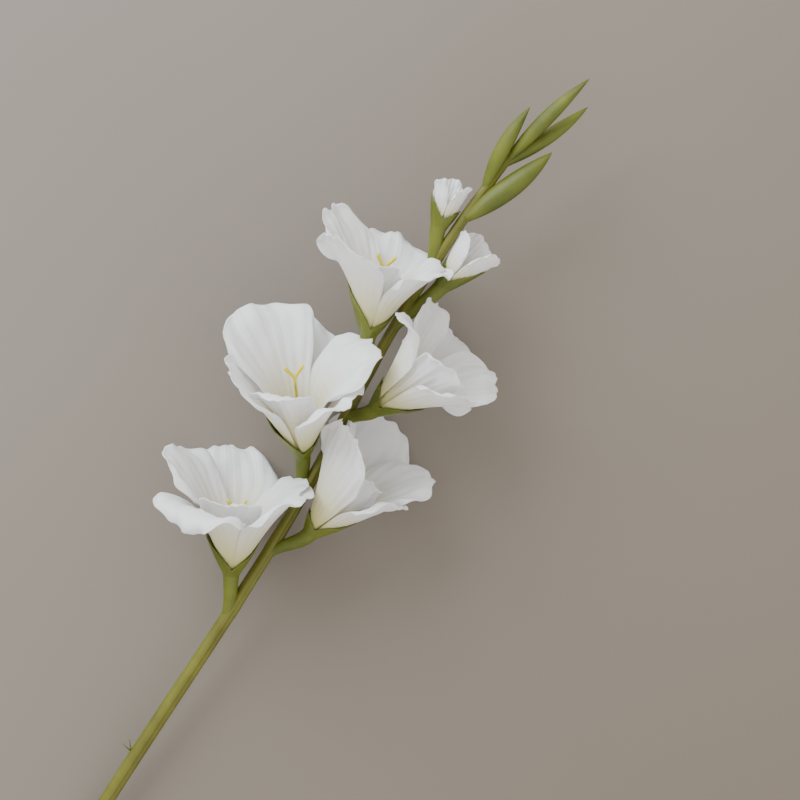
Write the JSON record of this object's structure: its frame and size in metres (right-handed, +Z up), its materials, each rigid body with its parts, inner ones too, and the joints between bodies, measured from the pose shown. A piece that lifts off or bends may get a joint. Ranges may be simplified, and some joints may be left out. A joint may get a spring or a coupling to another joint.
{
  "type": "gladiolus flower spike",
  "caption": "Cut gladiolus spike lying down: a straight green stem with white ruffled flowers in two-lobed green cups and closed buds towards its tip.",
  "frame": {"origin": "centre of the box's underside, on the surface that the spike lies on", "axes": "+Y along the stem from its cut end to its tip, +Z up from the surface, +X to the right of the stem as seen from above"},
  "size_m": [0.1568, 0.6008, 0.1085],
  "materials": {
    "stem_green": "satin yellow-green moulded stem with a dark parting line",
    "bract_green": "satin olive green, paler at the edges, with fine lengthwise veins",
    "petal_white": "thin matt white petals, translucent, yellow-green towards the throat",
    "pistil_yellow": "matt bright yellow"
  },
  "bodies": {
    "root": {"stem": "stem_green", "flower1_cup": "bract_green", "flower1_petal1": "petal_white", "flower1_petal2": "petal_white", "flower1_petal3": "petal_white", "flower1_petal4": "petal_white", "flower1_petal5": "petal_white", "flower1_petal6": "petal_white", "flower1_pistil": "pistil_yellow", "flower2_cup": "bract_green", "flower2_petal1": "petal_white", "flower2_petal2": "petal_white", "flower2_petal3": "petal_white", "flower2_petal4": "petal_white", "flower2_petal5": "petal_white", "flower2_petal6": "petal_white", "flower2_pistil": "pistil_yellow", "flower3_cup": "bract_green", "flower3_petal1": "petal_white", "flower3_petal2": "petal_white", "flower3_petal3": "petal_white", "flower3_petal4": "petal_white", "flower3_petal5": "petal_white", "flower3_petal6": "petal_white", "flower3_pistil": "pistil_yellow", "flower4_cup": "bract_green", "flower4_petal1": "petal_white", "flower4_petal2": "petal_white", "flower4_petal3": "petal_white", "flower4_petal4": "petal_white", "flower4_petal5": "petal_white", "flower4_petal6": "petal_white", "flower4_pistil": "pistil_yellow", "flower5_cup": "bract_green", "flower5_petal1": "petal_white", "flower5_petal2": "petal_white", "flower5_petal3": "petal_white", "flower5_petal4": "petal_white", "flower5_petal5": "petal_white", "flower5_petal6": "petal_white", "flower5_pistil": "pistil_yellow", "bud1_cup": "bract_green", "bud1_petal1": "petal_white", "bud1_petal2": "petal_white", "bud1_petal3": "petal_white", "bud2_cup": "bract_green", "bud2_petal1": "petal_white", "bud2_petal2": "petal_white", "bud2_petal3": "petal_white", "bud3": "bract_green", "bud4": "bract_green", "bud5": "bract_green", "bud6": "bract_green"}
  },
  "joints": []
}
